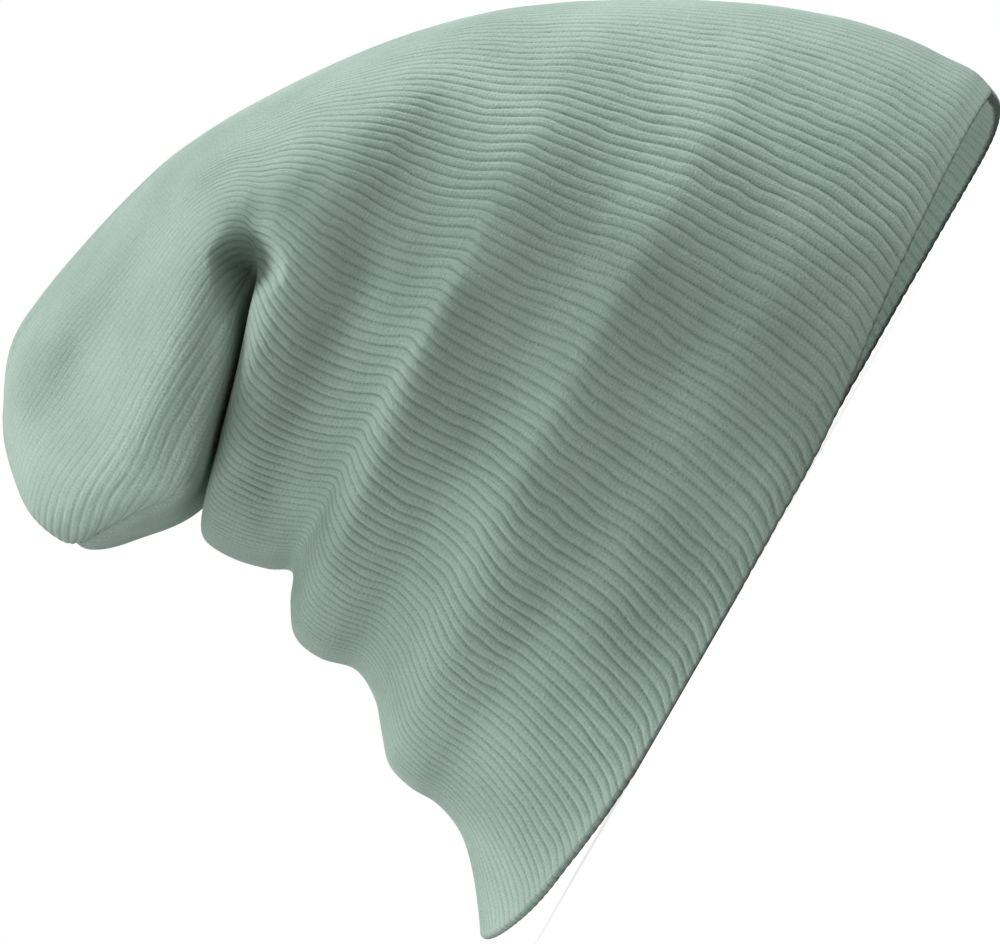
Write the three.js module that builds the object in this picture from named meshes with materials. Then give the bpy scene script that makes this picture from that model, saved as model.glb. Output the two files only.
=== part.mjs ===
// Knit cap: one tube of rib knit folded double, whose crown end has slumped over to the back.
// Millimetres, +X to the forehead, +Z to the crown, standing on its hem at Z = 0.
import * as THREE from 'three';

const COLUMNS_ROUND = 56;
const HALF_OUTLINE_STEPS = 360;
const TANGENT_REACH = 0.002;
const HEM_ROUNDING = 1.0;
const HEM_EDGE_INSET = 0.6;
const FLOOR_SNAP = 0.25;
const HEM_FADE_LENGTH = 34;

// Turns a table's rows into objects whose keys are its column names.
function named(columns, rows) {
  return rows.map((row) => Object.fromEntries(columns.map((column, k) => [column, row[k]])));
}

// Sections of the tube, from the hem to the closed crown.
// Each lies in a plane through the Y direction, from its front or top point to its back or under point.
const SECTION_COLUMNS = [
  'along', 'frontX', 'frontZ', 'backX', 'backZ', 'halfWidth', 'widestAt', 'frontSquare', 'backSquare',
];
const SECTIONS = named(SECTION_COLUMNS, [
  [0, 101.8, 6.5, -100.5, 10.7, 75.4, 0, 2.1, 2.0],
  [6, 103.0, 11.0, -96.5, 13.5, 75.7, 0, 2.1, 2.0],
  [14, 102.6, 17.6, -89.8, 18.8, 75.8, 0, 2.1, 2.1],
  [22, 102.2, 24.6, -84.4, 24.6, 75.2, 0, 2.1, 2.2],
  [30, 101.0, 32.0, -81.7, 31.5, 74.1, 0, 2.1, 2.2],
  [38, 99.3, 39.0, -81.5, 38.0, 74.3, 0, 2.1, 2.2],
  [45, 97.3, 45.0, -79.6, 44.0, 74.8, 0, 2.1, 2.2],
  [51, 95.2, 50.8, -74.5, 48.6, 74.9, 0, 2.1, 2.2],
  [57, 92.9, 56.3, -69.5, 53.0, 73.4, 0, 2.1, 2.2],
  [64, 90.0, 62.3, -66.2, 59.5, 71.8, 0, 2.1, 2.2],
  [71, 87.0, 68.4, -67.8, 67.0, 71.9, 0, 2.1, 2.2],
  [78, 83.6, 74.6, -66.5, 73.6, 72.6, 0, 2.1, 2.2],
  [84, 80.7, 79.6, -61.0, 77.8, 72.2, 0, 2.1, 2.2],
  [89, 78.5, 83.0, -55.4, 80.6, 71.0, 0, 2.1, 2.2],
  [95, 75.0, 88.6, -57.3, 85.6, 69.6, 0, 2.1, 2.2],
  [102, 71.3, 93.9, -59.0, 93.0, 69.2, 0, 2.1, 2.3],
  [109, 67.0, 99.7, -58.6, 100.0, 69.7, 0, 2.1, 2.4],
  [115, 63.0, 104.3, -55.2, 104.6, 69.9, 0, 2.1, 2.5],
  [122, 57.0, 110.5, -46.5, 106.8, 69.3, -0.05, 2.1, 2.8],
  [131, 49.6, 117.3, -34.5, 108.9, 67.5, -0.10, 2.0, 3.2],
  [141, 40.0, 124.8, -23.5, 111.8, 65.0, -0.15, 2.0, 3.7],
  [151, 29.0, 132.4, -15.0, 113.5, 62.0, -0.20, 1.9, 2.8],
  [161, 17.8, 139.3, -8.8, 115.4, 60.5, -0.25, 1.8, 2.5],
  [171, 6.0, 145.1, -8.4, 117.8, 60.5, -0.30, 1.6, 2.5],
  [181, -5.5, 148.8, -13.8, 116.6, 62.0, -0.38, 1.45, 3.2],
  [192, -18.0, 151.8, -23.8, 111.9, 64.5, -0.48, 1.35, 7.5],
  [204, -31.4, 154.2, -36.0, 108.6, 65.5, -0.56, 1.3, 8.0],
  [216, -42.7, 154.8, -47.5, 106.4, 63.0, -0.56, 1.35, 7.0],
  [226, -52.5, 151.7, -56.3, 106.4, 58.0, -0.50, 1.5, 4.6],
  [236, -61.0, 146.8, -63.8, 111.2, 50.0, -0.40, 1.7, 3.0],
  [246, -66.7, 139.8, -68.9, 116.6, 38.0, -0.25, 1.85, 2.2],
  [255, -68.6, 134.0, -69.7, 122.4, 24.0, 0, 2.0, 2.0],
]);
const CROWN_POLE = { along: 262, x: -70.6, y: 20, z: 128.5 };

// The closed end leans and turns to the far side: a shift in Y, and the X gained for each Y.
const CROWN_TURN = named(['along', 'lean', 'turn'], [
  [0, 0, 0], [216, 0.4, 0], [226, 2, 0], [236, 5, 0.02], [246, 10, 0.11], [255, 15, 0.14], [262, 20, 0.14],
]);

// Height of the hem's outer edge above the floor, round the rim from the forehead by the near side.
const HEM_LINE = named(['round', 'height'], [
  [0.00, 6.5], [0.03, 6.7], [0.07, 7.0], [0.11, 6.3], [0.155, 4.7], [0.195, 2.2], [0.22, 1.1],
  [0.24, 1.0], [0.34, 1.0], [0.375, 2.2], [0.40, 3.7], [0.432, 5.7], [0.46, 8.2], [0.48, 9.8],
  [0.50, 10.7], [0.52, 9.8], [0.54, 8.2], [0.568, 5.7], [0.60, 3.4], [0.625, 2.0], [0.66, 1.0],
  [0.91, 1.0], [0.95, 1.5], [0.98, 3.6], [1.00, 6.5],
]);

// How far the under side sinks in the middle, where the slumped crown lies on the tube below it.
const SAG = named(['along', 'depth'], [
  [0, 0], [107, 0], [116, 3.0], [126, 3.8], [142, 4.0], [152, 3.6], [166, 2.7], [181, 1.5], [192, 1.0],
  [216, 0.8], [240, 0.2], [262, 0],
]);

// Soft folds: a rounded ridge (height above 0) or dent (below 0) in the cloth.
const FOLDS = named(['round', 'along', 'halfRound', 'halfAlong', 'height'], [
  [0.90, 198, 0.060, 34, -1.6],
  [0.80, 62, 0.070, 9, -1.8],
  [0.84, 100, 0.060, 9, -1.5],
  [0.98, 236, 0.040, 12, -1.2],
]);

// Straight folds on one side, near (-1) or far (1): a ridge (height above 0) or a valley (below 0).
const CREASES = named(['side', 'fromX', 'fromZ', 'toX', 'toZ', 'halfWidth', 'height'], [
  [-1, 0, 127, 42, 109, 6, 1.8],
  [-1, 2, 103, 34, 99, 9, -2.2],
  [-1, -46, 90, 4, 96, 5, -2.4],
  [-1, -50, 76, 10, 80, 5, 1.6],
  [-1, -58, 135, -6, 138, 8, -5.0],
  [-1, -48, 121, -22, 125, 7, 1.2],
  [-1, -40, 10, 50, 12, 8, -0.8],
  [1, 0, 128, 40, 110, 7, 1.6],
  [1, 6, 104, 30, 99, 9, -1.8],
  [1, -46, 91, 4, 96, 5, -1.4],
]);
const CREASE_RIM = 14;

// Pockets pressed in beside the elbow, where the cloth tucks under the slumped crown.
const POCKETS = named(['side', 'fromX', 'fromZ', 'toX', 'toZ', 'fromRadius', 'toRadius', 'depth', 'edge'], [
  [-1, -6.0, 121.0, -16.0, 118.0, 7.5, 3.5, 8, 9],
  [1, -6.0, 120.0, -18.0, 117.0, 8.0, 4.0, 6, 10],
]);
const POCKET_FLOOR = 6;

// Thickness of the two layers together, from the hem to the stretched crown.
const WALL = named(['along', 'thick'], [
  [0, 2.4], [7, 3.2], [20, 3.6], [125, 3.5], [160, 2.7], [240, 2.6], [262, 2.4],
]);

// Darts sewn into the crown end: a shallow groove along each seam, deepening from where it starts.
const DARTS = named(['round', 'start', 'depth'], [
  [1 / 56, 206, 1.0], [17 / 56, 216, 1.0], [31 / 56, 216, 1.0], [44 / 56, 216, 1.0],
]);
const DART_HALF_ROUND = 0.014;
const DART_FADE_LENGTH = 20;

function smooth(t) {
  const c = Math.min(1, Math.max(0, t));
  return c * c * (3 - 2 * c);
}

// A smooth curve through one column of a table, taken at a value of its key column.
function curve(rows, key, column, at) {
  const last = rows.length - 1;
  const x = Math.min(rows[last][key], Math.max(rows[0][key], at));
  let i = 0;
  while (i < last - 1 && rows[i + 1][key] <= x) i += 1;
  const slope = (j) => {
    const a = rows[Math.max(0, j - 1)];
    const b = rows[Math.min(last, j + 1)];
    return (b[column] - a[column]) / (b[key] - a[key]);
  };
  const h = rows[i + 1][key] - rows[i][key];
  const t = (x - rows[i][key]) / h;
  const u = 1 - t;
  return (1 + 2 * t) * u * u * rows[i][column] + t * u * u * h * slope(i)
    + t * t * (3 - 2 * t) * rows[i + 1][column] - t * t * u * h * slope(i + 1);
}

// One section's half outline, from its front point to its back point, with the length run so far.
function halfOutline(along) {
  const value = {};
  for (const column of SECTION_COLUMNS) value[column] = curve(SECTIONS, 'along', column, along);
  const axisX = (value.frontX - value.backX) / 2;
  const axisZ = (value.frontZ - value.backZ) / 2;
  const reach = Math.hypot(axisX, axisZ);
  const points = [];
  let run = 0;
  for (let i = 0; i <= HALF_OUTLINE_STEPS; i += 1) {
    const angle = Math.PI * i / HALF_OUTLINE_STEPS;
    const c = Math.cos(angle);
    const front = c >= 0;
    const power = 2 / (front ? value.frontSquare : value.backSquare);
    const spread = Math.pow(Math.abs(c), power);
    const share = front ? (1 - value.widestAt) * spread : -(1 + value.widestAt) * spread;
    const a = (value.widestAt + share) * reach;
    const y = value.halfWidth * Math.pow(Math.abs(Math.sin(angle)), power);
    if (i > 0) run += Math.hypot(a - points[i - 1].a, y - points[i - 1].y);
    points.push({ a, y, run });
  }
  return {
    points,
    run,
    centreX: (value.frontX + value.backX) / 2,
    centreZ: (value.frontZ + value.backZ) / 2,
    unitX: axisX / reach,
    unitZ: axisZ / reach,
    lean: curve(CROWN_TURN, 'along', 'lean', along),
    turn: curve(CROWN_TURN, 'along', 'turn', along),
  };
}

// The point a fraction of the way round a section, evenly by length, near side first.
function pointRound(section, round) {
  const turn = round - Math.floor(round);
  const side = turn <= 0.5 ? -1 : 1;
  const target = (turn <= 0.5 ? turn : 1 - turn) * 2 * section.run;
  let i = 1;
  while (i < section.points.length - 1 && section.points[i].run < target) i += 1;
  const p = section.points[i - 1];
  const n = section.points[i];
  const t = (target - p.run) / (n.run - p.run);
  const a = p.a + (n.a - p.a) * t;
  const y = side * (p.y + (n.y - p.y) * t);
  return new THREE.Vector3(
    section.centreX + a * section.unitX + section.turn * y,
    y + section.lean,
    section.centreZ + a * section.unitZ,
  );
}

function shortestTurn(from, to) {
  const d = to - from;
  return d - Math.round(d);
}

function foldHeight(round, along) {
  let height = 0;
  for (const fold of FOLDS) {
    const across = shortestTurn(fold.round, round) / fold.halfRound;
    const down = (along - fold.along) / fold.halfAlong;
    height += fold.height * Math.exp(-across * across - down * down);
  }
  for (const dart of DARTS) {
    const across = shortestTurn(dart.round, round) / DART_HALF_ROUND;
    height -= dart.depth * smooth((along - dart.start) / DART_FADE_LENGTH) * Math.exp(-across * across);
  }
  return height;
}

// Distance in the side view from a fold's straight line, and the share of the line passed there.
function lineDistance(point, line) {
  const dx = line.toX - line.fromX;
  const dz = line.toZ - line.fromZ;
  const passed = ((point.x - line.fromX) * dx + (point.z - line.fromZ) * dz) / (dx * dx + dz * dz);
  const share = Math.min(1, Math.max(0, passed));
  return { share, away: Math.hypot(point.x - line.fromX - share * dx, point.z - line.fromZ - share * dz) };
}

function pressPockets(point) {
  for (const pocket of POCKETS) {
    const { share, away } = lineDistance(point, pocket);
    const radius = pocket.fromRadius + (pocket.toRadius - pocket.fromRadius) * share;
    const push = pocket.depth * radius / pocket.fromRadius * smooth((radius - away) / pocket.edge);
    const y = Math.abs(point.y);
    if (point.y * pocket.side > 0) point.y = pocket.side * Math.max(y - push, Math.min(y, POCKET_FLOOR));
  }
}

function raiseCreases(point) {
  for (const crease of CREASES) {
    const { away } = lineDistance(point, crease);
    const bell = Math.exp(-((away / crease.halfWidth) ** 2));
    point.y += crease.side * crease.height * bell * smooth(point.y * crease.side / CREASE_RIM);
  }
}

const hemSection = halfOutline(0);

function outerPoint(section, round, along) {
  const point = pointRound(section, round);
  const ahead = pointRound(section, round - TANGENT_REACH);
  const behind = pointRound(section, round + TANGENT_REACH);
  const tangent = behind.sub(ahead).normalize();
  const sectionNormal = new THREE.Vector3(-section.unitZ, 0, section.unitX);
  const outward = new THREE.Vector3().crossVectors(tangent, sectionNormal).normalize();
  const centre = new THREE.Vector3(section.centreX, section.lean, section.centreZ);
  if (outward.dot(point.clone().sub(centre)) < 0) outward.negate();
  point.addScaledVector(outward, foldHeight(round, along));
  const turn = round - Math.floor(round);
  const under = turn > 0.25 && turn < 0.75 ? Math.sin(2 * Math.PI * (turn - 0.25)) : 0;
  point.z -= curve(SAG, 'along', 'depth', along) * under * under;
  const rise = curve(HEM_LINE, 'round', 'height', turn) - pointRound(hemSection, round).z;
  point.z += rise * smooth(1 - along / HEM_FADE_LENGTH);
  pressPockets(point);
  raiseCreases(point);
  return point;
}

function ring(along) {
  const section = halfOutline(along);
  const points = [];
  for (let i = 0; i < COLUMNS_ROUND; i += 1) points.push(outerPoint(section, i / COLUMNS_ROUND, along));
  return points;
}

// Outward normals of a grid of rings, the last ring facing the closed crown.
function gridNormals(rings, pole) {
  return rings.map((points, r) => points.map((point, i) => {
    const left = points[(i + COLUMNS_ROUND - 1) % COLUMNS_ROUND];
    const right = points[(i + 1) % COLUMNS_ROUND];
    const below = rings[Math.max(0, r - 1)][i];
    const above = r + 1 < rings.length ? rings[r + 1][i] : pole;
    return new THREE.Vector3().crossVectors(above.clone().sub(below), right.clone().sub(left)).normalize();
  }));
}

function buildShell() {
  const alongs = [];
  SECTIONS.forEach((section, i) => {
    alongs.push(section.along);
    if (i + 1 < SECTIONS.length) alongs.push((section.along + SECTIONS[i + 1].along) / 2);
  });
  const outer = alongs.map(ring);
  const pole = new THREE.Vector3(CROWN_POLE.x, CROWN_POLE.y, CROWN_POLE.z);
  const normals = gridNormals(outer, pole);
  const inner = [];
  for (let r = 0; r < outer.length - 1; r += 2) {
    const thick = curve(WALL, 'along', 'thick', alongs[r]);
    inner.push(outer[r].map((point, i) => point.clone().addScaledVector(normals[r][i], -thick)));
  }
  const poleNormal = new THREE.Vector3();
  for (const normal of normals[normals.length - 1]) poleNormal.add(normal);
  const poleThick = curve(WALL, 'along', 'thick', CROWN_POLE.along);
  const innerPole = pole.clone().addScaledVector(poleNormal.normalize(), -poleThick);

  // Hem: a rounded edge whose under side lies flat where the cap stands on it.
  const hemOuter = [];
  const hemInner = [];
  for (let i = 0; i < COLUMNS_ROUND; i += 1) {
    const down = outer[0][i].clone().sub(outer[1][i]).normalize().multiplyScalar(HEM_ROUNDING);
    const inset = normals[0][i].clone().multiplyScalar(HEM_EDGE_INSET);
    const a = outer[0][i].clone().sub(inset).add(down);
    const b = inner[0][i].clone().add(inset).add(down);
    for (const p of [a, b]) if (p.z < FLOOR_SNAP) p.z = 0;
    hemOuter.push(a);
    hemInner.push(b);
  }

  const rings = [...inner.slice().reverse(), hemInner, hemOuter, ...outer];
  const vertices = [innerPole, ...rings.flat(), pole];
  for (const v of vertices) v.z = Math.max(0, v.z);
  const box = new THREE.Box3().setFromPoints(vertices);
  const middle = box.getCenter(new THREE.Vector3());
  const shift = new THREE.Vector3(-middle.x, -middle.y, -box.min.z);
  vertices.forEach((v) => v.add(shift));

  const triangles = [];
  const at = (r, i) => 1 + r * COLUMNS_ROUND + (i % COLUMNS_ROUND);
  const lastVertex = vertices.length - 1;
  for (let i = 0; i < COLUMNS_ROUND; i += 1) {
    triangles.push(0, at(0, i), at(0, i + 1));
    for (let r = 0; r + 1 < rings.length; r += 1) {
      triangles.push(at(r, i), at(r + 1, i), at(r + 1, i + 1));
      triangles.push(at(r, i), at(r + 1, i + 1), at(r, i + 1));
    }
    triangles.push(lastVertex, at(rings.length - 1, i + 1), at(rings.length - 1, i));
  }
  return { vertices, triangles };
}

function signedVolume({ vertices, triangles }) {
  let volume = 0;
  for (let i = 0; i < triangles.length; i += 3) {
    const [a, b, c] = [vertices[triangles[i]], vertices[triangles[i + 1]], vertices[triangles[i + 2]]];
    volume += a.dot(b.clone().cross(c)) / 6;
  }
  return volume;
}

const shell = buildShell();
if (signedVolume(shell) < 0) {
  for (let i = 0; i < shell.triangles.length; i += 3) {
    [shell.triangles[i + 1], shell.triangles[i + 2]] = [shell.triangles[i + 2], shell.triangles[i + 1]];
  }
}
const positions = shell.vertices.flatMap((v) => [v.x, v.y, v.z]);
const geometry = new THREE.BufferGeometry();
geometry.setAttribute('position', new THREE.Float32BufferAttribute(positions, 3));
geometry.setIndex(shell.triangles);
geometry.computeVertexNormals();

const SAGE = 0xa3bab0;
const knit = new THREE.MeshStandardMaterial({
  name: 'rib_knit', color: SAGE, roughness: 0.95, side: THREE.DoubleSide,
});
const mesh = new THREE.Mesh(geometry, knit);
mesh.name = 'knit_shell';

const group = new THREE.Group();
group.name = 'knit_cap';
group.add(mesh);

export default group;
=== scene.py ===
"""The looks of a slouch knit cap: rib knit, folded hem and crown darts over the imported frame.

The cloth is worked out in millimetres as a surface over two numbers: round, the fraction of a turn
from the forehead by the near side, and along, the length of cloth from the hem towards the crown.
"""
import math

import bpy
import numpy as np
from mathutils import Matrix, Vector


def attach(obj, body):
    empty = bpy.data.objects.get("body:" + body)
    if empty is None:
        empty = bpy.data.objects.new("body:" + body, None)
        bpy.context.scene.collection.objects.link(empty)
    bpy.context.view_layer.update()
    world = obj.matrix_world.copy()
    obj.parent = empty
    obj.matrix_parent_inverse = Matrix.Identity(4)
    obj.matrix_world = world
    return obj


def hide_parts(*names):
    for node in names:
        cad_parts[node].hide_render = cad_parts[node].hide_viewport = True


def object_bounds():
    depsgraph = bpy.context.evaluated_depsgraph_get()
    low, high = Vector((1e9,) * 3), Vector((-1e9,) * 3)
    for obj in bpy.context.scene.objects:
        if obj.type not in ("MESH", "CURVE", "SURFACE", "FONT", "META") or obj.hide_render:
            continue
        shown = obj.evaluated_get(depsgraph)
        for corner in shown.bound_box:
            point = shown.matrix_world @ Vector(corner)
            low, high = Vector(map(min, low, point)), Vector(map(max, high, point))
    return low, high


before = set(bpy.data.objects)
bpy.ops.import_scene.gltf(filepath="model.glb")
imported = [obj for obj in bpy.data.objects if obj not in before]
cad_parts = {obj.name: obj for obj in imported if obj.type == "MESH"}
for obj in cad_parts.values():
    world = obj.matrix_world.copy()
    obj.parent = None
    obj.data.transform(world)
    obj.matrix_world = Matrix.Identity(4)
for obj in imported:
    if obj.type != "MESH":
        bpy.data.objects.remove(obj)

CAD_BOX = [list(corner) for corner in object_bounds()]
MM = 0.001

# The cloth's form: one row for each section, as in the part's source.
SECTION_COLUMNS = ("along", "front_x", "front_z", "back_x", "back_z",
                   "half_width", "widest_at", "front_square", "back_square")
SECTIONS = np.array([
    (0, 101.8, 6.5, -100.5, 10.7, 75.4, 0, 2.1, 2.0),
    (6, 103.0, 11.0, -96.5, 13.5, 75.7, 0, 2.1, 2.0),
    (14, 102.6, 17.6, -89.8, 18.8, 75.8, 0, 2.1, 2.1),
    (22, 102.2, 24.6, -84.4, 24.6, 75.2, 0, 2.1, 2.2),
    (30, 101.0, 32.0, -81.7, 31.5, 74.1, 0, 2.1, 2.2),
    (38, 99.3, 39.0, -81.5, 38.0, 74.3, 0, 2.1, 2.2),
    (45, 97.3, 45.0, -79.6, 44.0, 74.8, 0, 2.1, 2.2),
    (51, 95.2, 50.8, -74.5, 48.6, 74.9, 0, 2.1, 2.2),
    (57, 92.9, 56.3, -69.5, 53.0, 73.4, 0, 2.1, 2.2),
    (64, 90.0, 62.3, -66.2, 59.5, 71.8, 0, 2.1, 2.2),
    (71, 87.0, 68.4, -67.8, 67.0, 71.9, 0, 2.1, 2.2),
    (78, 83.6, 74.6, -66.5, 73.6, 72.6, 0, 2.1, 2.2),
    (84, 80.7, 79.6, -61.0, 77.8, 72.2, 0, 2.1, 2.2),
    (89, 78.5, 83.0, -55.4, 80.6, 71.0, 0, 2.1, 2.2),
    (95, 75.0, 88.6, -57.3, 85.6, 69.6, 0, 2.1, 2.2),
    (102, 71.3, 93.9, -59.0, 93.0, 69.2, 0, 2.1, 2.3),
    (109, 67.0, 99.7, -58.6, 100.0, 69.7, 0, 2.1, 2.4),
    (115, 63.0, 104.3, -55.2, 104.6, 69.9, 0, 2.1, 2.5),
    (122, 57.0, 110.5, -46.5, 106.8, 69.3, -0.05, 2.1, 2.8),
    (131, 49.6, 117.3, -34.5, 108.9, 67.5, -0.10, 2.0, 3.2),
    (141, 40.0, 124.8, -23.5, 110.6, 65.0, -0.15, 2.0, 3.7),
    (151, 29.0, 132.4, -15.0, 111.3, 62.0, -0.20, 1.9, 3.8),
    (161, 17.8, 139.3, -8.0, 112.8, 60.5, -0.25, 1.8, 4.2),
    (171, 6.0, 145.1, -8.0, 114.8, 60.5, -0.30, 1.6, 5.5),
    (181, -5.5, 148.8, -13.8, 113.8, 62.0, -0.38, 1.45, 7.0),
    (192, -18.0, 151.8, -23.8, 110.4, 64.5, -0.48, 1.35, 12.0),
    (204, -31.4, 154.2, -36.0, 107.4, 65.5, -0.56, 1.3, 14.0),
    (216, -42.7, 154.8, -47.5, 105.2, 63.0, -0.56, 1.35, 12.0),
    (226, -52.5, 151.7, -56.3, 106.4, 58.0, -0.50, 1.5, 4.6),
    (236, -61.0, 146.8, -63.8, 111.2, 50.0, -0.40, 1.7, 3.0),
    (246, -66.7, 139.8, -68.9, 116.6, 38.0, -0.25, 1.85, 2.2),
    (255, -68.6, 134.0, -69.7, 122.4, 24.0, 0, 2.0, 2.0),
])
POLE_ALONG = 262.0
POLE = np.array([-70.6, 20.0, 128.5])

# Places that half a section is worked out at, and how far to each side its slope is read.
SECTION_SAMPLES = 361
SLOPE_REACH = 0.6

# The closed end leans and turns to the far side: along and lean, along and x gained for each y.
LEAN = np.array([(0, 0), (216, 0.4), (226, 2), (236, 5), (246, 10), (255, 15), (262, 20)])
TURN = np.array([(0, 0), (216, 0), (226, 0), (236, 0.02), (246, 0.11), (255, 0.14), (262, 0.14)])

# Height of the hem's outer edge above the floor: round, height.
HEM_LINE = np.array([
    (0.00, 6.5), (0.03, 6.7), (0.07, 7.0), (0.11, 6.3), (0.155, 4.7), (0.195, 2.2), (0.22, 1.1), (0.24, 1.0),
    (0.34, 1.0), (0.375, 2.2), (0.40, 3.7), (0.432, 5.7), (0.46, 8.2), (0.48, 9.8), (0.50, 10.7),
    (0.52, 9.8), (0.54, 8.2), (0.568, 5.7), (0.60, 3.4), (0.625, 2.0), (0.66, 1.0), (0.91, 1.0),
    (0.95, 1.5), (0.98, 3.6), (1.00, 6.5),
])
HEM_FADE_LENGTH = 34.0
HEM_ROUNDING = 1.0
# Length of cloth that the hem's turn takes up, for the courses of its stitches.
HEM_TURN_LENGTH = 2.4 * HEM_ROUNDING

# How far the under side sinks in the middle: along, depth.
SAG = np.array([(0, 0), (107, 0), (116, 3.0), (126, 3.8), (142, 4.0), (152, 3.6), (166, 2.7),
                (181, 1.5), (192, 1.0), (216, 0.8), (240, 0.2), (262, 0)])

# Soft folds: round, along, half round, half along, height.
FOLDS = (
    (0.90, 198, 0.060, 34, -1.6),
    (0.80, 62, 0.070, 9, -1.8),
    (0.84, 100, 0.060, 9, -1.5),
    (0.98, 236, 0.040, 12, -1.2),
)

# Straight folds on one side, -1 near and 1 far: side, from x z, to x z, half width, height.
CREASES = (
    (-1, 0, 127, 42, 109, 6, 1.8),
    (-1, 2, 103, 34, 99, 9, -2.2),
    (-1, -46, 90, 4, 96, 5, -2.4),
    (-1, -50, 76, 10, 80, 5, 1.6),
    (-1, -50, 148, 2, 144, 7, 4.5),
    (-1, -58, 136, -4, 139, 9, -6.0),
    (-1, -48, 121, -22, 125, 7, 1.2),
    (-1, -40, 10, 50, 12, 8, -0.8),
    (1, 0, 128, 40, 110, 7, 1.6),
    (1, 6, 104, 30, 99, 9, -1.8),
    (1, -46, 91, 4, 96, 5, -1.4),
)
CREASE_RIM = 14.0

# Pockets beside the elbow: side, from x z, to x z, radius at each end, depth, edge.
POCKETS = (
    (-1, -6.5, 117.2, -15.0, 115.6, 8.5, 4.0, 17, 9.5),
    (1, -6.0, 120.0, -18.0, 117.0, 8.0, 4.0, 6, 10),
)
POCKET_FLOOR = 6.0

# The softened edge of the slumped crown, in fractions of a turn, and the length over which it begins.
SHOULDER_SPREAD = 0.014
SHOULDER_FROM_BACK = 0.26
SHOULDER_REACH = 0.038
SHOULDER_EDGE = 0.018
SHOULDER_ALONG = 158
SHOULDER_FADE_LENGTH = 16

# Thickness of the two layers together: along, thickness.
WALL = np.array([(0, 2.4), (7, 3.2), (20, 3.6), (125, 3.5), (160, 2.7), (240, 2.6), (262, 2.4)])

# The knitting.
GORE_RIBS = np.array([37, 53, 53, 53])
GORES = len(GORE_RIBS)
RIBS = int(GORE_RIBS.sum())
GORE_STARTS = np.r_[0, np.cumsum(GORE_RIBS)]
OUTER_STEPS = 8
INNER_STEPS = 4
DART_ROUND = 0.145
DART_ALONG = 210.0
COURSE = 0.85

# The ribs at the back take up the scallops: where that ends, how far it is evened and how far ribs shift.
SCALLOPS_END = 98
SCALLOPS_FADE_LENGTH = 26
SCALLOPS_SPREAD = 13.0
BACKWARD_SHIFT = 0.02

# The crown's turn to the far side: where it starts, its length and the share each place takes of it.
CROWN_TWIST = 0.17
TWIST_ALONG = 150
TWIST_LENGTH = 62
TWIST_SHARES = np.array([(0, 1), (0.05, 1), (0.40, 0), (0.45, 0), (1, 1)])

# How the ribs wander: amount in ribs, cells round, cell length, seed.
WANDERS = ((0.14, 130, 5.0, 3), (0.12, 45, 14.0, 4))
WANDER_FADE_LENGTH = 8

# A rib's width, height and sharpness: ribs are flat-topped with thin valleys, and higher where they are wide.
RIB_SHAPE = np.array([
    (1.0, 0.14, 0.60),
    (1.6, 0.22, 0.60),
    (2.2, 0.34, 0.62),
    (2.6, 0.39, 0.66),
    (3.1, 0.43, 0.72),
])
# Height of the rib crests above the cloth's own face, and the inner ribs' height as a share of the outer.
OUTER_TOP = 0.10
INNER_TOP = 0.0
INNER_SHARE = 0.8

# Unevenness of the ribs' height: along each rib as amount, cell length and seed, and from rib to rib.
UNEVEN = 0.22
UNEVEN_LENGTH = 3.0
UNEVEN_SEED = 11
RIB_TO_RIB = 0.14
RIB_TO_RIB_SEED = 5

# The ribs lie flatter at the hem's very edge and on the slumped crown.
HEM_SHARE = 0.45
HEM_SHARE_LENGTH = 4
HEM_SHARE_START = -0.5
CROWN_LOSS = 0.5
CROWN_LOSS_ALONG = 160
CROWN_LOSS_LENGTH = 30

# The painted shade of the rib valleys is evened out on the crown, towards one level between valley and crest.
EVEN_TONE = 0.45
EVEN_TONE_LEVEL = 0.7
EVEN_TONE_ALONG = 150
EVEN_TONE_LENGTH = 40

# The groove of a dart seam, which fades in before the darts start, and the least height over the floor.
SEAM_DEPTH = 0.9
SEAM_HALF_WIDTH = 2.4
SEAM_LEAD = 6
SEAM_FADE_LENGTH = 14
FLOOR_GAP = 0.02

# Rows of points along the outer and the inner face.
BODY_ROWS = 176
CROWN_ROWS = 40
HEM_ROWS = 12
INNER_BODY_ROWS = 56
INNER_CROWN_ROWS = 12


def smooth(t):
    """An S-shaped rise from 0 to 1."""
    t = np.clip(t, 0, 1)
    return t * t * (3 - 2 * t)


def curve(xs, ys, x):
    """The same smooth curve through a table as the part's source uses."""
    x = np.clip(x, xs[0], xs[-1])
    slopes = np.empty_like(ys)
    slopes[1:-1] = (ys[2:] - ys[:-2]) / (xs[2:] - xs[:-2])
    slopes[0] = (ys[1] - ys[0]) / (xs[1] - xs[0])
    slopes[-1] = (ys[-1] - ys[-2]) / (xs[-1] - xs[-2])
    i = np.clip(np.searchsorted(xs, x, side="right") - 1, 0, len(xs) - 2)
    h = xs[i + 1] - xs[i]
    t = (x - xs[i]) / h
    u = 1 - t
    return ((1 + 2 * t) * u * u * ys[i] + t * u * u * h * slopes[i]
            + t * t * (3 - 2 * t) * ys[i + 1] - t * t * u * h * slopes[i + 1])


def table(rows, x):
    """The smooth curve through a table of two columns."""
    return curve(rows[:, 0], rows[:, 1], x)


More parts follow.
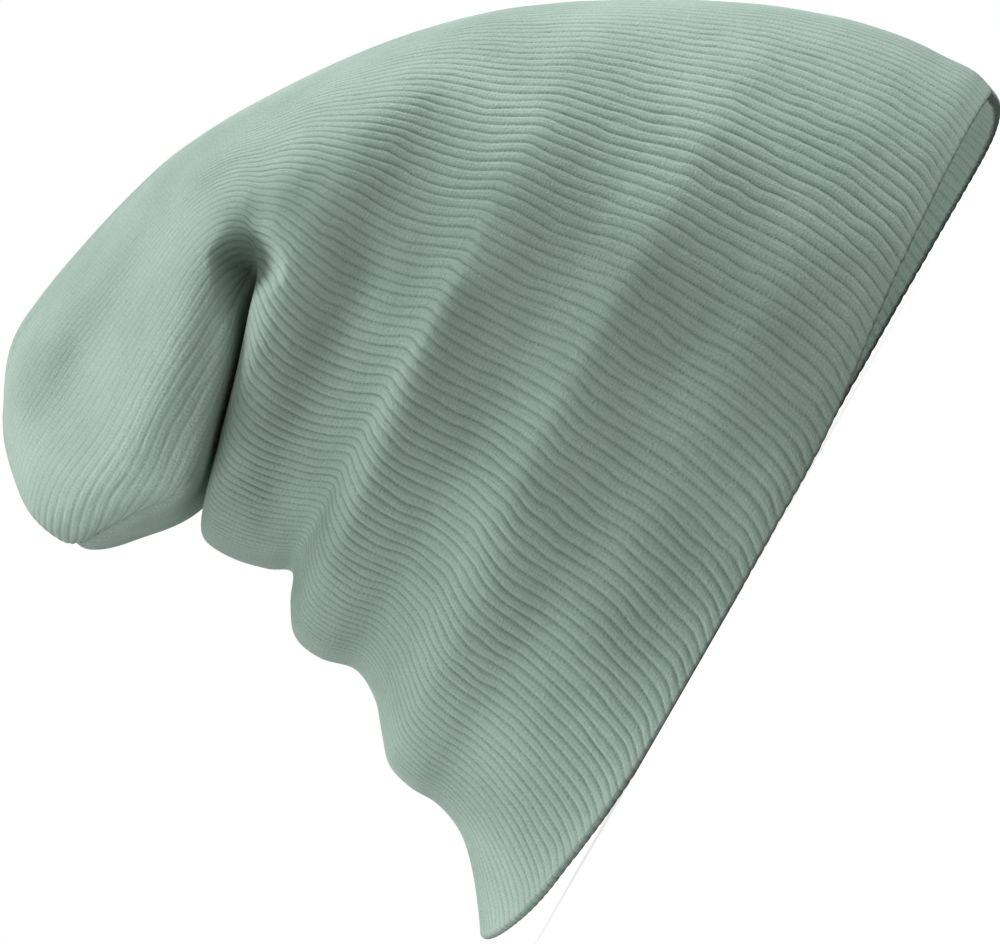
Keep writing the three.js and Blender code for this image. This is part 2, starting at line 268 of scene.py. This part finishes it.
def section_points(along, rounds):
    """Points at even fractions of one section's length, with their in-plane outward directions."""
    value = dict(zip(SECTION_COLUMNS[1:],
                     (float(curve(SECTIONS[:, 0], column, along)) for column in SECTIONS.T[1:])))
    front = np.array([value["front_x"], value["front_z"]])
    back = np.array([value["back_x"], value["back_z"]])
    centre, axis = (front + back) / 2, (front - back) / 2
    reach = np.hypot(*axis)
    axis = axis / reach
    angle = np.linspace(0, np.pi, SECTION_SAMPLES)
    c = np.cos(angle)
    power = 2 / np.where(c >= 0, value["front_square"], value["back_square"])
    spread = np.abs(c) ** power
    w = value["widest_at"]
    a = np.where(c >= 0, w + (1 - w) * spread, w - (1 + w) * spread) * reach
    y = value["half_width"] * np.abs(np.sin(angle)) ** power
    run = np.r_[0, np.cumsum(np.hypot(np.diff(a), np.diff(y)))]
    near = rounds <= 0.5
    target = np.where(near, rounds, 1 - rounds) * 2 * run[-1]
    side = np.where(near, -1.0, 1.0)
    reach_at, y_at = np.interp(target, run, a), np.interp(target, run, y)
    ahead = np.clip(target - SLOPE_REACH, 0, run[-1])
    behind = np.clip(target + SLOPE_REACH, 0, run[-1])
    da = np.interp(behind, run, a) - np.interp(ahead, run, a)
    dy = np.interp(behind, run, y) - np.interp(ahead, run, y)
    length = np.hypot(da, dy)
    out_a, out_y = dy / length, -da / length
    x = centre[0] + reach_at * axis[0] + table(TURN, along) * side * y_at
    points = np.stack([x, side * y_at + table(LEAN, along), centre[1] + reach_at * axis[1]], -1)
    outward = np.stack([out_a * axis[0], side * out_y, out_a * axis[1]], -1)
    return points, outward


def round_shoulders(grid, alongs, rounds):
    """Softens the edge where the slumped crown's top slopes into its sides."""
    waves = np.arange(grid.shape[1] // 2 + 1)
    bell = np.exp(-2 * (np.pi * SHOULDER_SPREAD * waves) ** 2)
    soft = np.fft.irfft(np.fft.rfft(grid, axis=1) * bell[None, :, None], grid.shape[1], axis=1)
    away = np.abs(np.abs(rounds - 0.5) - SHOULDER_FROM_BACK)
    in_crown = smooth((alongs - SHOULDER_ALONG) / SHOULDER_FADE_LENGTH)
    weight = in_crown[:, None] * smooth((SHOULDER_REACH - away) / SHOULDER_EDGE)[None]
    grid += (soft - grid) * weight[..., None]


def press_pockets(points):
    """Presses each pocket inwards, no nearer to the middle plane than its floor."""
    for side, x1, z1, x2, z2, r1, r2, depth, edge in POCKETS:
        away, t = segment_distance(points, x1, z1, x2, z2)
        radius = r1 + (r2 - r1) * t
        push = depth * radius / r1 * smooth((radius - away) / edge)
        y = np.abs(points[..., 1])
        pressed = side * np.maximum(y - push, np.minimum(y, POCKET_FLOOR))
        points[..., 1] = np.where(points[..., 1] * side > 0, pressed, points[..., 1])


def segment_distance(points, x1, z1, x2, z2):
    """Distance in the side view from a straight line between two places."""
    dx, dz = x2 - x1, z2 - z1
    t = np.clip(((points[..., 0] - x1) * dx + (points[..., 2] - z1) * dz) / (dx * dx + dz * dz), 0, 1)
    return np.hypot(points[..., 0] - x1 - t * dx, points[..., 2] - z1 - t * dz), t


def raise_creases(points):
    """Raises or sinks the straight folds, each on its own side."""
    for side, x1, z1, x2, z2, half_width, height in CREASES:
        away, _ = segment_distance(points, x1, z1, x2, z2)
        on_side = np.clip(points[..., 1] * side / CREASE_RIM, 0, 1)
        points[..., 1] += side * height * np.exp(-(away / half_width) ** 2) * smooth(on_side)


class Cloth:
    """The outer face of the cloth, sampled once on a fine grid and read between its points."""

    STEP = 0.5
    ROUNDS = 1664

    def __init__(self):
        self.alongs = np.arange(0, POLE_ALONG + 0.01, self.STEP)
        rounds = np.arange(self.ROUNDS) / self.ROUNDS
        grid = np.empty((len(self.alongs), self.ROUNDS, 3))
        outward = np.empty_like(grid)
        last = SECTIONS[-1, 0]
        for i, along in enumerate(self.alongs):
            if along <= last:
                grid[i], outward[i] = section_points(along, rounds)
            else:
                t = (along - last) / (POLE_ALONG - last)
                rim, outward[i] = section_points(last, rounds)
                bulge = math.sqrt(max(0.0, 1 - t * t))
                grid[i] = POLE + (rim - POLE) * [1 - t * t, bulge, 1]
                grid[i, :, 2] = POLE[2] + (rim[:, 2] - POLE[2]) * bulge
        self.perimeter = np.linalg.norm(np.roll(grid, -1, 1) - grid, axis=2).sum(1)
        for fold_round, fold_along, half_round, half_along, height in FOLDS:
            across = (rounds - fold_round + 0.5) % 1 - 0.5
            weight = np.exp(-(across / half_round) ** 2)[None] * np.exp(
                -((self.alongs - fold_along) / half_along) ** 2)[:, None]
            grid += outward * (height * weight)[..., None]
        under = np.where((rounds > 0.25) & (rounds < 0.75), np.sin(2 * np.pi * (rounds - 0.25)), 0) ** 2
        grid[..., 2] -= table(SAG, self.alongs)[:, None] * under[None]
        rise = table(HEM_LINE, rounds) - section_points(0, rounds)[0][:, 2]
        grid[..., 2] += rise[None] * smooth(1 - self.alongs / HEM_FADE_LENGTH)[:, None]
        round_shoulders(grid, self.alongs, rounds)
        press_pockets(grid)
        raise_creases(grid)
        self.grid = grid
        self.normals = grid_normals(grid)
        # The last row is one point, which takes the mean direction of the row before it.
        self.normals[-1] = self.normals[-2].mean(0)

    def _read(self, values, rounds, alongs):
        """Values at any place, straight between the four grid points round it."""
        i = np.clip(alongs / self.STEP, 0, len(self.alongs) - 1.0001)
        j = (rounds % 1) * self.ROUNDS
        i0, j0 = i.astype(int), j.astype(int) % self.ROUNDS
        fi, fj = (i - i0)[..., None], (j - np.floor(j))[..., None]
        j1 = (j0 + 1) % self.ROUNDS
        low = values[i0, j0] * (1 - fj) + values[i0, j1] * fj
        high = values[i0 + 1, j0] * (1 - fj) + values[i0 + 1, j1] * fj
        return low * (1 - fi) + high * fi

    def point(self, rounds, alongs):
        return self._read(self.grid, rounds, alongs)

    def normal(self, rounds, alongs):
        n = self._read(self.normals, rounds, alongs)
        return n / np.linalg.norm(n, axis=-1, keepdims=True)


def grid_normals(grid):
    """Outward normals of a grid that closes on itself round its second axis."""
    around = np.roll(grid, -1, 1) - np.roll(grid, 1, 1)
    up = np.gradient(grid, axis=0)
    n = np.cross(up, around)
    return n / (np.linalg.norm(n, axis=2, keepdims=True) + 1e-12)


cloth = Cloth()
# The cloth moves by this much in X to have its forehead where the solid's is.
FRONT_GAP = CAD_BOX[1][0] / MM - cloth.grid[..., 0].max()
SHIFT = np.array([FRONT_GAP, 0, 0])


def blurred(values, step, spread):
    """A row of values smoothed by a bell curve of the given spread."""
    reach = int(4 * spread / step)
    bell = np.exp(-0.5 * (np.arange(-reach, reach + 1) * step / spread) ** 2)
    return np.convolve(np.pad(values, reach, mode="reflect", reflect_type="odd"), bell / bell.sum(), "valid")


even_length = blurred(cloth.perimeter, cloth.STEP, SCALLOPS_SPREAD)


def rib_place(material, alongs):
    """Where cloth that starts a fraction of a turn from the forehead comes to lie, as a fraction.

    The scallops are taken up at the back, so the ribs at the front and middle run straight.
    The crown's top is pulled over to the far side, so its ribs run slantwise.
    """
    turn = material % 1
    near = turn <= 0.5
    u = 2 * np.where(near, turn, 1 - turn)
    lower = 1 - smooth((alongs - SCALLOPS_END) / SCALLOPS_FADE_LENGTH)
    u = u + BACKWARD_SHIFT * lower * np.sin(np.pi * u)
    length = np.interp(alongs, cloth.alongs, cloth.perimeter)
    even = np.interp(alongs, cloth.alongs, even_length)
    straight = (u * even + (length - even) * u ** 3) / length
    u = u + (straight - u) * lower
    spread = np.where(near, u / 2, 1 - u / 2)
    pulled = np.interp(spread, TWIST_SHARES[:, 0], TWIST_SHARES[:, 1])
    return spread - CROWN_TWIST * smooth((alongs - TWIST_ALONG) / TWIST_LENGTH) * pulled


in_darts = cloth.alongs >= DART_ALONG
dart_alongs = cloth.alongs[in_darts]
girth = np.minimum.accumulate(cloth.perimeter[in_darts])
dart_shares = girth / girth[0]


def width_share(alongs):
    """A gore's width at a place, as a share of its width where the darts start."""
    return np.where(alongs <= DART_ALONG, 1.0, np.interp(alongs, dart_alongs, dart_shares))


def dart_end(across):
    """How far along the cloth a rib runs before it meets the dart seam beside it."""
    return np.interp(-2 * np.abs(across), -dart_shares, dart_alongs)


def soft_noise(rounds, alongs, cells_round, cell_length, seed):
    """Smooth noise from -1 to 1 that closes round the tube."""
    cells_along = int(POLE_ALONG / cell_length) + 4
    values = np.random.default_rng(seed).uniform(-1, 1, (cells_round, cells_along))
    a, b = (rounds % 1) * cells_round, np.clip(alongs / cell_length + 1, 0, cells_along - 1.001)
    i, j = np.floor(a).astype(int), np.floor(b).astype(int)
    s, t = smooth(a - i), smooth(b - j)
    i, k = i % cells_round, (i + 1) % cells_round
    low = values[i, j] * (1 - s) + values[k, j] * s
    high = values[i, j + 1] * (1 - s) + values[k, j + 1] * s
    return low * (1 - t) + high * t


def relief(phase, sharp):
    """Height of one rib across its width, 0 in the valley and 1 on the crest."""
    return np.abs(np.sin(np.pi * phase)) ** sharp


def hem_turn(points, normals, down, thickness, angle):
    """A point on the rounded hem: angle 0 on the outer face, pi on the inner one."""
    centre = points - normals * thickness / 2
    return (centre + normals * (thickness / 2) * np.cos(angle) + down * HEM_ROUNDING * np.sin(angle),
            normals * np.cos(angle) + down * np.sin(angle))


def material_rounds(across_values, gores, alongs):
    """Where a rib column lies round the tube at a place along it."""
    centre = GORE_STARTS[gores] + GORE_RIBS[gores] / 2
    spread = np.clip(across_values / np.maximum(width_share(alongs), 1e-6), -0.5, 0.5)
    return rib_place(DART_ROUND + (centre + spread * GORE_RIBS[gores]) / RIBS, alongs)


def knit_grid(across_values, gores, body_rows, crown_rows, hem_rows, outer):
    """Positions, rib coordinates and courses of one face of the cloth, row by row from the hem."""
    n = len(across_values)
    rib = GORE_STARTS[gores] + (across_values + 0.5) * GORE_RIBS[gores]
    phase = rib % 1
    ends = dart_end(across_values)
    body = np.linspace(0, DART_ALONG, body_rows)[:, None] + np.zeros((1, n))
    t = np.linspace(0, 1, crown_rows + 1)[1:, None]
    crown = DART_ALONG + (ends - DART_ALONG)[None] * t
    alongs = np.vstack([body, crown])
    rounds = material_rounds(across_values[None], gores[None], alongs)
    turn = rib[None] / RIBS
    wander = sum(amount * soft_noise(turn, alongs, cells, length, seed)
                 for amount, cells, length, seed in WANDERS) / RIBS
    rounds = rounds + wander * smooth((ends[None] - alongs) / WANDER_FADE_LENGTH)
    points, normals = cloth.point(rounds, alongs), cloth.normal(rounds, alongs)
    down = points[0] - points[1]
    down /= np.linalg.norm(down, axis=1, keepdims=True)
    wall = table(WALL, alongs)[..., None]
    if outer:
        face, face_normals = points, normals
    else:
        face, face_normals = points - normals * wall, -normals
    if hem_rows:
        angles = np.linspace(np.pi, 0, hem_rows + 1)[:-1]
        turns = [hem_turn(points[0], normals[0], down, wall[0], a) for a in angles]
        face = np.concatenate([np.stack([p for p, _ in turns]), face])
        face_normals = np.concatenate([np.stack([q for _, q in turns]), face_normals])
        lower = -np.linspace(HEM_TURN_LENGTH, 0, hem_rows + 1)[:-1, None] + np.zeros((1, n))
        alongs = np.vstack([lower, alongs])
    return face, face_normals, alongs, rib, phase, ends


def dress(face, face_normals, alongs, rib, phase, ends, steps, top, scale):
    """The face with its ribs raised and its dart seams sunk, and how near the crest each point is, 0 to 1,
    which sets the painted shade of the rib valleys.
    """
    vary = 1 + UNEVEN * soft_noise(rib[None] / RIBS, alongs, RIBS, UNEVEN_LENGTH, UNEVEN_SEED)
    draws = np.random.default_rng(RIB_TO_RIB_SEED).uniform(-1, 1, RIBS + 1)
    per_rib = 1 + RIB_TO_RIB * draws[np.floor(rib).astype(int)][None]
    width = np.linalg.norm(np.roll(face, -steps, 1) - np.roll(face, steps, 1), axis=2) / 2
    off_hem = smooth((alongs - HEM_SHARE_START) / HEM_SHARE_LENGTH)
    on_crown = smooth((alongs - CROWN_LOSS_ALONG) / CROWN_LOSS_LENGTH)
    height = np.interp(width, RIB_SHAPE[:, 0], RIB_SHAPE[:, 1]) * vary * per_rib * scale
    height = height * (HEM_SHARE + (1 - HEM_SHARE) * off_hem) * (1 - CROWN_LOSS * on_crown)
    sharp = np.interp(width, RIB_SHAPE[:, 0], RIB_SHAPE[:, 2])
    raised = relief(phase[None], sharp)
    lift = height * (raised - 1) + top
    # The crest value sets the painted shade of the rib valleys, and on the crown it is evened out.
    evened = EVEN_TONE * smooth((alongs - EVEN_TONE_ALONG) / EVEN_TONE_LENGTH)
    crest = raised + evened * (EVEN_TONE_LEVEL - raised)
    to_seam = np.maximum(ends[None] - alongs, 0)
    near_darts = smooth((alongs - DART_ALONG + SEAM_LEAD) / SEAM_FADE_LENGTH)
    seam = near_darts * np.exp(-(to_seam / SEAM_HALF_WIDTH) ** 2)
    points = face + face_normals * (lift - SEAM_DEPTH * seam)[..., None]
    points[..., 2] = np.maximum(points[..., 2], FLOOR_GAP)
    return points, crest


def make_mesh(name, points, normals, uv, crest):
    """One piece of the knit from a grid of points, with its rib crests kept as an attribute for the painted
    valley shade.
    """
    rows, cols = points.shape[:2]
    index = np.arange(rows * cols).reshape(rows, cols)
    quads = np.stack([index[:-1, :-1], index[1:, :-1], index[1:, 1:], index[:-1, 1:]], -1).reshape(-1, 4)
    mesh = bpy.data.meshes.new(name)
    mesh.vertices.add(rows * cols)
    mesh.vertices.foreach_set("co", ((points + SHIFT) * MM).astype(np.float32).ravel())
    mesh.loops.add(quads.size)
    mesh.loops.foreach_set("vertex_index", quads.astype(np.int32).ravel())
    mesh.polygons.add(len(quads))
    mesh.polygons.foreach_set("loop_start", np.arange(0, quads.size, 4, dtype=np.int32))
    mesh.polygons.foreach_set("loop_total", np.full(len(quads), 4, dtype=np.int32))
    mesh.update(calc_edges=True)
    layer = mesh.uv_layers.new(name="UVMap")
    layer.data.foreach_set("uv", uv.reshape(-1, 2)[quads.ravel()].astype(np.float32).ravel())
    attribute = mesh.attributes.new("crest", "FLOAT", "POINT")
    attribute.data.foreach_set("value", crest.astype(np.float32).ravel())
    mesh.shade_smooth()
    mesh.normals_split_custom_set_from_vertices(normals.reshape(-1, 3))
    piece = bpy.data.objects.new(name, mesh)
    bpy.context.scene.collection.objects.link(piece)
    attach(piece, "root")
    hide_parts("knit_shell")
    return piece


def knit_face(label, steps, body_rows, crown_rows, hem_rows, outer, top, scale):
    """One face of the cloth in four gore-wide pieces that meet in rib valleys."""
    widths = GORE_RIBS * steps
    gores = np.repeat(np.arange(GORES), widths)
    across_values = np.concatenate([np.arange(width) / width - 0.5 for width in widths])
    face, face_normals, alongs, rib, phase, ends = knit_grid(
        across_values, gores, body_rows, crown_rows, hem_rows, outer)
    points, crest = dress(face, face_normals, alongs, rib, phase, ends, steps, top, scale)
    normals = grid_normals(points)
    if not outer:
        normals = -normals
    made = []
    for gore, width in enumerate(widths):
        start = GORE_STARTS[gore] * steps
        cols = np.arange(start, start + width + 1) % len(across_values)
        piece_points, piece_normals = points[:, cols].copy(), normals[:, cols].copy()
        edge = np.arange(width + 1) / steps + GORE_STARTS[gore]
        uv = np.stack([edge[None] + 0 * alongs[:, cols], alongs[:, cols] / COURSE], -1)
        piece_crest = crest[:, cols]
        if not outer:
            piece_points, piece_normals = piece_points[:, ::-1], piece_normals[:, ::-1]
            piece_crest, uv = piece_crest[:, ::-1], uv[:, ::-1]
        made.append(make_mesh(f"{label}_{gore + 1}", piece_points, piece_normals, uv, piece_crest))
    return made


outer_pieces = knit_face(
    "outer_knit", OUTER_STEPS, BODY_ROWS, CROWN_ROWS, HEM_ROWS, True, OUTER_TOP, 1.0)
inner_pieces = knit_face(
    "inner_knit", INNER_STEPS, INNER_BODY_ROWS, INNER_CROWN_ROWS, 0, False, INNER_TOP, INNER_SHARE)


# The wool's colour with painted shade from the dark valley to the paler crest, and its tone that differs at
# random: linear colour at each stop of a ramp.
KNIT_TONES_AND_VALLEY_SHADE = ((0.0, (0.228, 0.318, 0.268, 1)), (0.8, (0.390, 0.510, 0.446, 1)))
SHADE_TONES = ((0.36, (0.86, 0.87, 0.86, 1)), (0.64, (1.13, 1.12, 1.13, 1)))
SHEEN_TINT = (0.80, 0.92, 0.86, 1)

# Shares in the tone, which is painted shade following the relief: rib crest, stitches, purl holes, line
# between stitches.
CREST_SHADE_SHARE = 0.64
STITCH_SHADE_SHARE = 0.16
PURL_SHADE_SHARE = 0.70
GROOVE_SHADE_SHARE = -0.42

# Shares in the bump's height: stitches, purl holes, line between stitches, fibres.
STITCH_HEIGHT = 0.35
PURL_HEIGHT = 1.1
GROOVE_HEIGHT = -0.7
FIBRE_HEIGHT = 3.6
BUMP_STRENGTH = 0.5
BUMP_DISTANCE = 0.0003

# Slant of the stitches, half width of the line between them in ribs, and how far the courses wander.
STITCH_SLANT = 1.4
GROOVE_HALF_WIDTH = 0.13
COURSE_WANDER = 1.6


def sage_knit():
    """Rib knit wool: a muted sage with painted shade that keeps the crests paler and darkens the valleys,
    stitch relief and a soft nap.
    """
    material = bpy.data.materials.new("sage_rib_knit")
    material.use_nodes = True
    nodes, links = material.node_tree.nodes, material.node_tree.links
    shader = nodes["Principled BSDF"]

    def node(kind, **settings):
        made = nodes.new(kind)
        for key, value in settings.items():
            setattr(made, key, value)
        return made

    def maths(operation, a, b=None, c=None):
        made = node("ShaderNodeMath", operation=operation)
        for socket, value in zip(made.inputs, (a, b, c)):
            if value is None:
                continue
            if isinstance(value, (int, float)):
                socket.default_value = value
            else:
                links.new(value, socket)
        return made.outputs[0]

    def wave(value):
        return maths("MULTIPLY_ADD", maths("SINE", maths("MULTIPLY", value, 2 * math.pi)), 0.5, 0.5)

    def noise(**settings):
        made = node("ShaderNodeTexNoise")
        for key, value in settings.items():
            made.inputs[key].default_value = value
        links.new(position, made.inputs["Vector"])
        return made.outputs["Fac"]

    def ramp(value, stops):
        made = node("ShaderNodeValToRGB")
        for element, (place, colour) in zip(made.color_ramp.elements, stops):
            element.position = place
            element.color = colour
        links.new(value, made.inputs[0])
        return made.outputs[0]

    split = node("ShaderNodeSeparateXYZ")
    links.new(node("ShaderNodeUVMap", uv_map="UVMap").outputs[0], split.inputs[0])
    rib, course = split.outputs[0], split.outputs[1]
    crest = node("ShaderNodeAttribute", attribute_name="crest").outputs["Fac"]
    valley = maths("SUBTRACT", 1.0, crest)
    position = node("ShaderNodeTexCoord").outputs["Object"]
    fibre = noise(Scale=1500, Detail=4, Roughness=0.65, Distortion=1.0)
    uneven = noise(Scale=420, Detail=2)
    cloudy = noise(Scale=45, Detail=2)

    # Slanted stitches lie on the crest with a thin line between them, and round holes in the valley.
    off_crest = maths("ABSOLUTE", maths("SUBTRACT", maths("FRACT", rib), 0.5))
    course = maths("MULTIPLY_ADD", uneven, COURSE_WANDER, course)
    stitch = maths("MULTIPLY", wave(maths("MULTIPLY_ADD", off_crest, STITCH_SLANT, course)), crest)
    purl = maths("MULTIPLY", wave(course), maths("MULTIPLY", valley, uneven))
    line = node("ShaderNodeMapRange", interpolation_type="SMOOTHSTEP")
    line.inputs["From Min"].default_value = GROOVE_HALF_WIDTH
    line.inputs["From Max"].default_value = 0.0
    links.new(off_crest, line.inputs["Value"])
    groove = maths("MULTIPLY", line.outputs[0], uneven)

    height = maths("MULTIPLY_ADD", purl, PURL_HEIGHT, maths("MULTIPLY", stitch, STITCH_HEIGHT))
    height = maths("MULTIPLY_ADD", groove, GROOVE_HEIGHT, height)
    height = maths("MULTIPLY_ADD", fibre, FIBRE_HEIGHT, height)
    bump = node("ShaderNodeBump")
    bump.inputs["Strength"].default_value = BUMP_STRENGTH
    bump.inputs["Distance"].default_value = BUMP_DISTANCE
    links.new(height, bump.inputs["Height"])
    links.new(bump.outputs[0], shader.inputs["Normal"])

    # The tone is painted shade following the relief: paler on crests and stitches, darker in the valleys, at
    # the purl holes and along the line between stitches.
    tone = maths("ADD", maths("MULTIPLY", crest, CREST_SHADE_SHARE), maths("MULTIPLY", stitch, STITCH_SHADE_SHARE))
    tone = maths("MULTIPLY_ADD", purl, PURL_SHADE_SHARE, tone)
    tone = maths("MULTIPLY_ADD", groove, GROOVE_SHADE_SHARE, tone)
    patches = maths("ADD", maths("MULTIPLY", cloudy, 0.5), maths("MULTIPLY", fibre, 0.5))
    mixed = node("ShaderNodeMix", data_type="RGBA", blend_type="MULTIPLY")
    mixed.inputs["Factor"].default_value = 1.0
    links.new(ramp(tone, KNIT_TONES_AND_VALLEY_SHADE), mixed.inputs["A"])
    links.new(ramp(patches, SHADE_TONES), mixed.inputs["B"])
    links.new(mixed.outputs["Result"], shader.inputs["Base Color"])
    shader.inputs["Roughness"].default_value = 0.92
    shader.inputs["Specular IOR Level"].default_value = 0.15
    shader.inputs["Sheen Weight"].default_value = 0.35
    shader.inputs["Sheen Roughness"].default_value = 0.45
    shader.inputs["Sheen Tint"].default_value = SHEEN_TINT
    return material


knit = sage_knit()
for piece in outer_pieces + inner_pieces:
    piece.data.materials.append(knit)

# The floor: the camera sees it white, and to other rays it is grey, so that little light comes off it.
FLOOR_SIZE = 30.0
FLOOR_TONE = (0.17, 0.17, 0.17, 1)
FLOOR_TONE_SEEN = (0.24, 0.24, 0.24, 1)
FLOOR_GLOW_SEEN = 0.78
AMBIENT = 0.18
WHITE = (1.0, 1.0, 1.0, 1)


def pale_floor():
    """A plain floor on the stage, under the cap."""
    half = FLOOR_SIZE / 2
    corners = [(-half, -half, 0), (half, -half, 0), (half, half, 0), (-half, half, 0)]
    mesh = bpy.data.meshes.new("floor")
    mesh.from_pydata(corners, [], [(0, 1, 2, 3)])
    floor = bpy.data.objects.new("floor", mesh)
    bpy.context.scene.collection.objects.link(floor)
    material = bpy.data.materials.new("pale_floor")
    material.use_nodes = True
    nodes, links = material.node_tree.nodes, material.node_tree.links
    shader = nodes["Principled BSDF"]
    seen = nodes.new("ShaderNodeLightPath").outputs["Is Camera Ray"]
    tone = nodes.new("ShaderNodeMix")
    tone.data_type = "RGBA"
    tone.inputs["A"].default_value = FLOOR_TONE
    tone.inputs["B"].default_value = FLOOR_TONE_SEEN
    links.new(seen, tone.inputs["Factor"])
    links.new(tone.outputs["Result"], shader.inputs["Base Color"])
    glow = nodes.new("ShaderNodeMapRange")
    glow.inputs["To Min"].default_value = 0.0
    glow.inputs["To Max"].default_value = FLOOR_GLOW_SEEN
    links.new(seen, glow.inputs["Value"])
    links.new(glow.outputs[0], shader.inputs["Emission Strength"])
    shader.inputs["Emission Color"].default_value = WHITE
    shader.inputs["Roughness"].default_value = 0.9
    shader.inputs["Specular IOR Level"].default_value = 0.0
    mesh.materials.append(material)


def studio_world():
    """An even white room: full white where the camera sees it, faint as a light."""
    world = bpy.data.worlds.new("studio")
    world.use_nodes = True
    nodes, links = world.node_tree.nodes, world.node_tree.links
    background = nodes["Background"]
    background.inputs[0].default_value = WHITE
    seen = nodes.new("ShaderNodeLightPath").outputs["Is Camera Ray"]
    strength = nodes.new("ShaderNodeMapRange")
    strength.inputs["To Min"].default_value = AMBIENT
    strength.inputs["To Max"].default_value = 1.0
    links.new(seen, strength.inputs["Value"])
    links.new(strength.outputs[0], background.inputs[1])
    bpy.context.scene.world = world


pale_floor()
studio_world()
bpy.context.scene.view_settings.view_transform = "Standard"


def aim(lamp, place, target):
    """Puts a lamp at a place, turned towards the target."""
    lamp.location = place
    lamp.rotation_mode = "QUATERNION"
    lamp.rotation_quaternion = (Vector(target) - Vector(place)).to_track_quat("-Z", "Y")
    bpy.context.scene.collection.objects.link(lamp)


def softbox(name, place, size, power, target=(0, 0, 0.07)):
    """A square soft light of a given side in metres and power in watts."""
    light = bpy.data.lights.new(name, "AREA")
    light.shape = "SQUARE"
    light.size = size
    light.energy = power
    aim(bpy.data.objects.new(name, light), place, target)


def sky(name, place, spread_degrees, strength):
    """A broad even light from far off."""
    light = bpy.data.lights.new(name, "SUN")
    light.angle = math.radians(spread_degrees)
    light.energy = strength
    aim(bpy.data.objects.new(name, light), place, (0, 0, 0))


sky("overhead_light", (0.08, 0.0, 1.5), spread_degrees=45, strength=2.75)
sky("camera_side_light", (0.0, -1.5, 0.42), spread_degrees=55, strength=0.89)
softbox("low_light", (-0.36, -0.94, 0.115), size=0.4, power=0.85, target=(-0.04, 0, 0.11))
softbox("front_light", (1.4, 0.30, 0.22), size=0.6, power=18.5)
softbox("back_light", (-1.4, 0.05, 0.48), size=0.8, power=10.5)
# A small lamp inside stands for the light that reaches up through the open hem.
softbox("hollow_light", (0.055, -0.020, 0.060), size=0.03, power=0.05, target=(0.06, 0.07, 0.0))

# The photograph shows the cap rolled: its forehead up and its crown to the left.
ROLL = math.radians(60.11)
PIXEL = 0.205 * MM
CAMERA_DISTANCE = 2.0
CAMERA_HEIGHT = 0.012
PICTURE_WIDTH = 1000
SENSOR_WIDTH = 36
FARTHEST_SEEN = 60
VIEW_CENTRE = ((-16.45 + SHIFT[0]) * MM, 54.5 * MM)
camera_data = bpy.data.cameras.new("camera")
camera = bpy.data.objects.new("camera", camera_data)
camera_data.sensor_width = SENSOR_WIDTH
camera_data.lens = SENSOR_WIDTH * CAMERA_DISTANCE / (PICTURE_WIDTH * PIXEL)
camera_data.clip_end = FARTHEST_SEEN
camera.location = (VIEW_CENTRE[0], -CAMERA_DISTANCE, CAMERA_HEIGHT)
pitch = math.atan2(VIEW_CENTRE[1] - CAMERA_HEIGHT, CAMERA_DISTANCE)
level = Matrix.Rotation(math.pi / 2 + pitch, 4, "X")
camera.matrix_world = Matrix.Translation(camera.location) @ level @ Matrix.Rotation(-ROLL, 4, "Z")
bpy.context.scene.collection.objects.link(camera)
bpy.context.scene.camera = camera
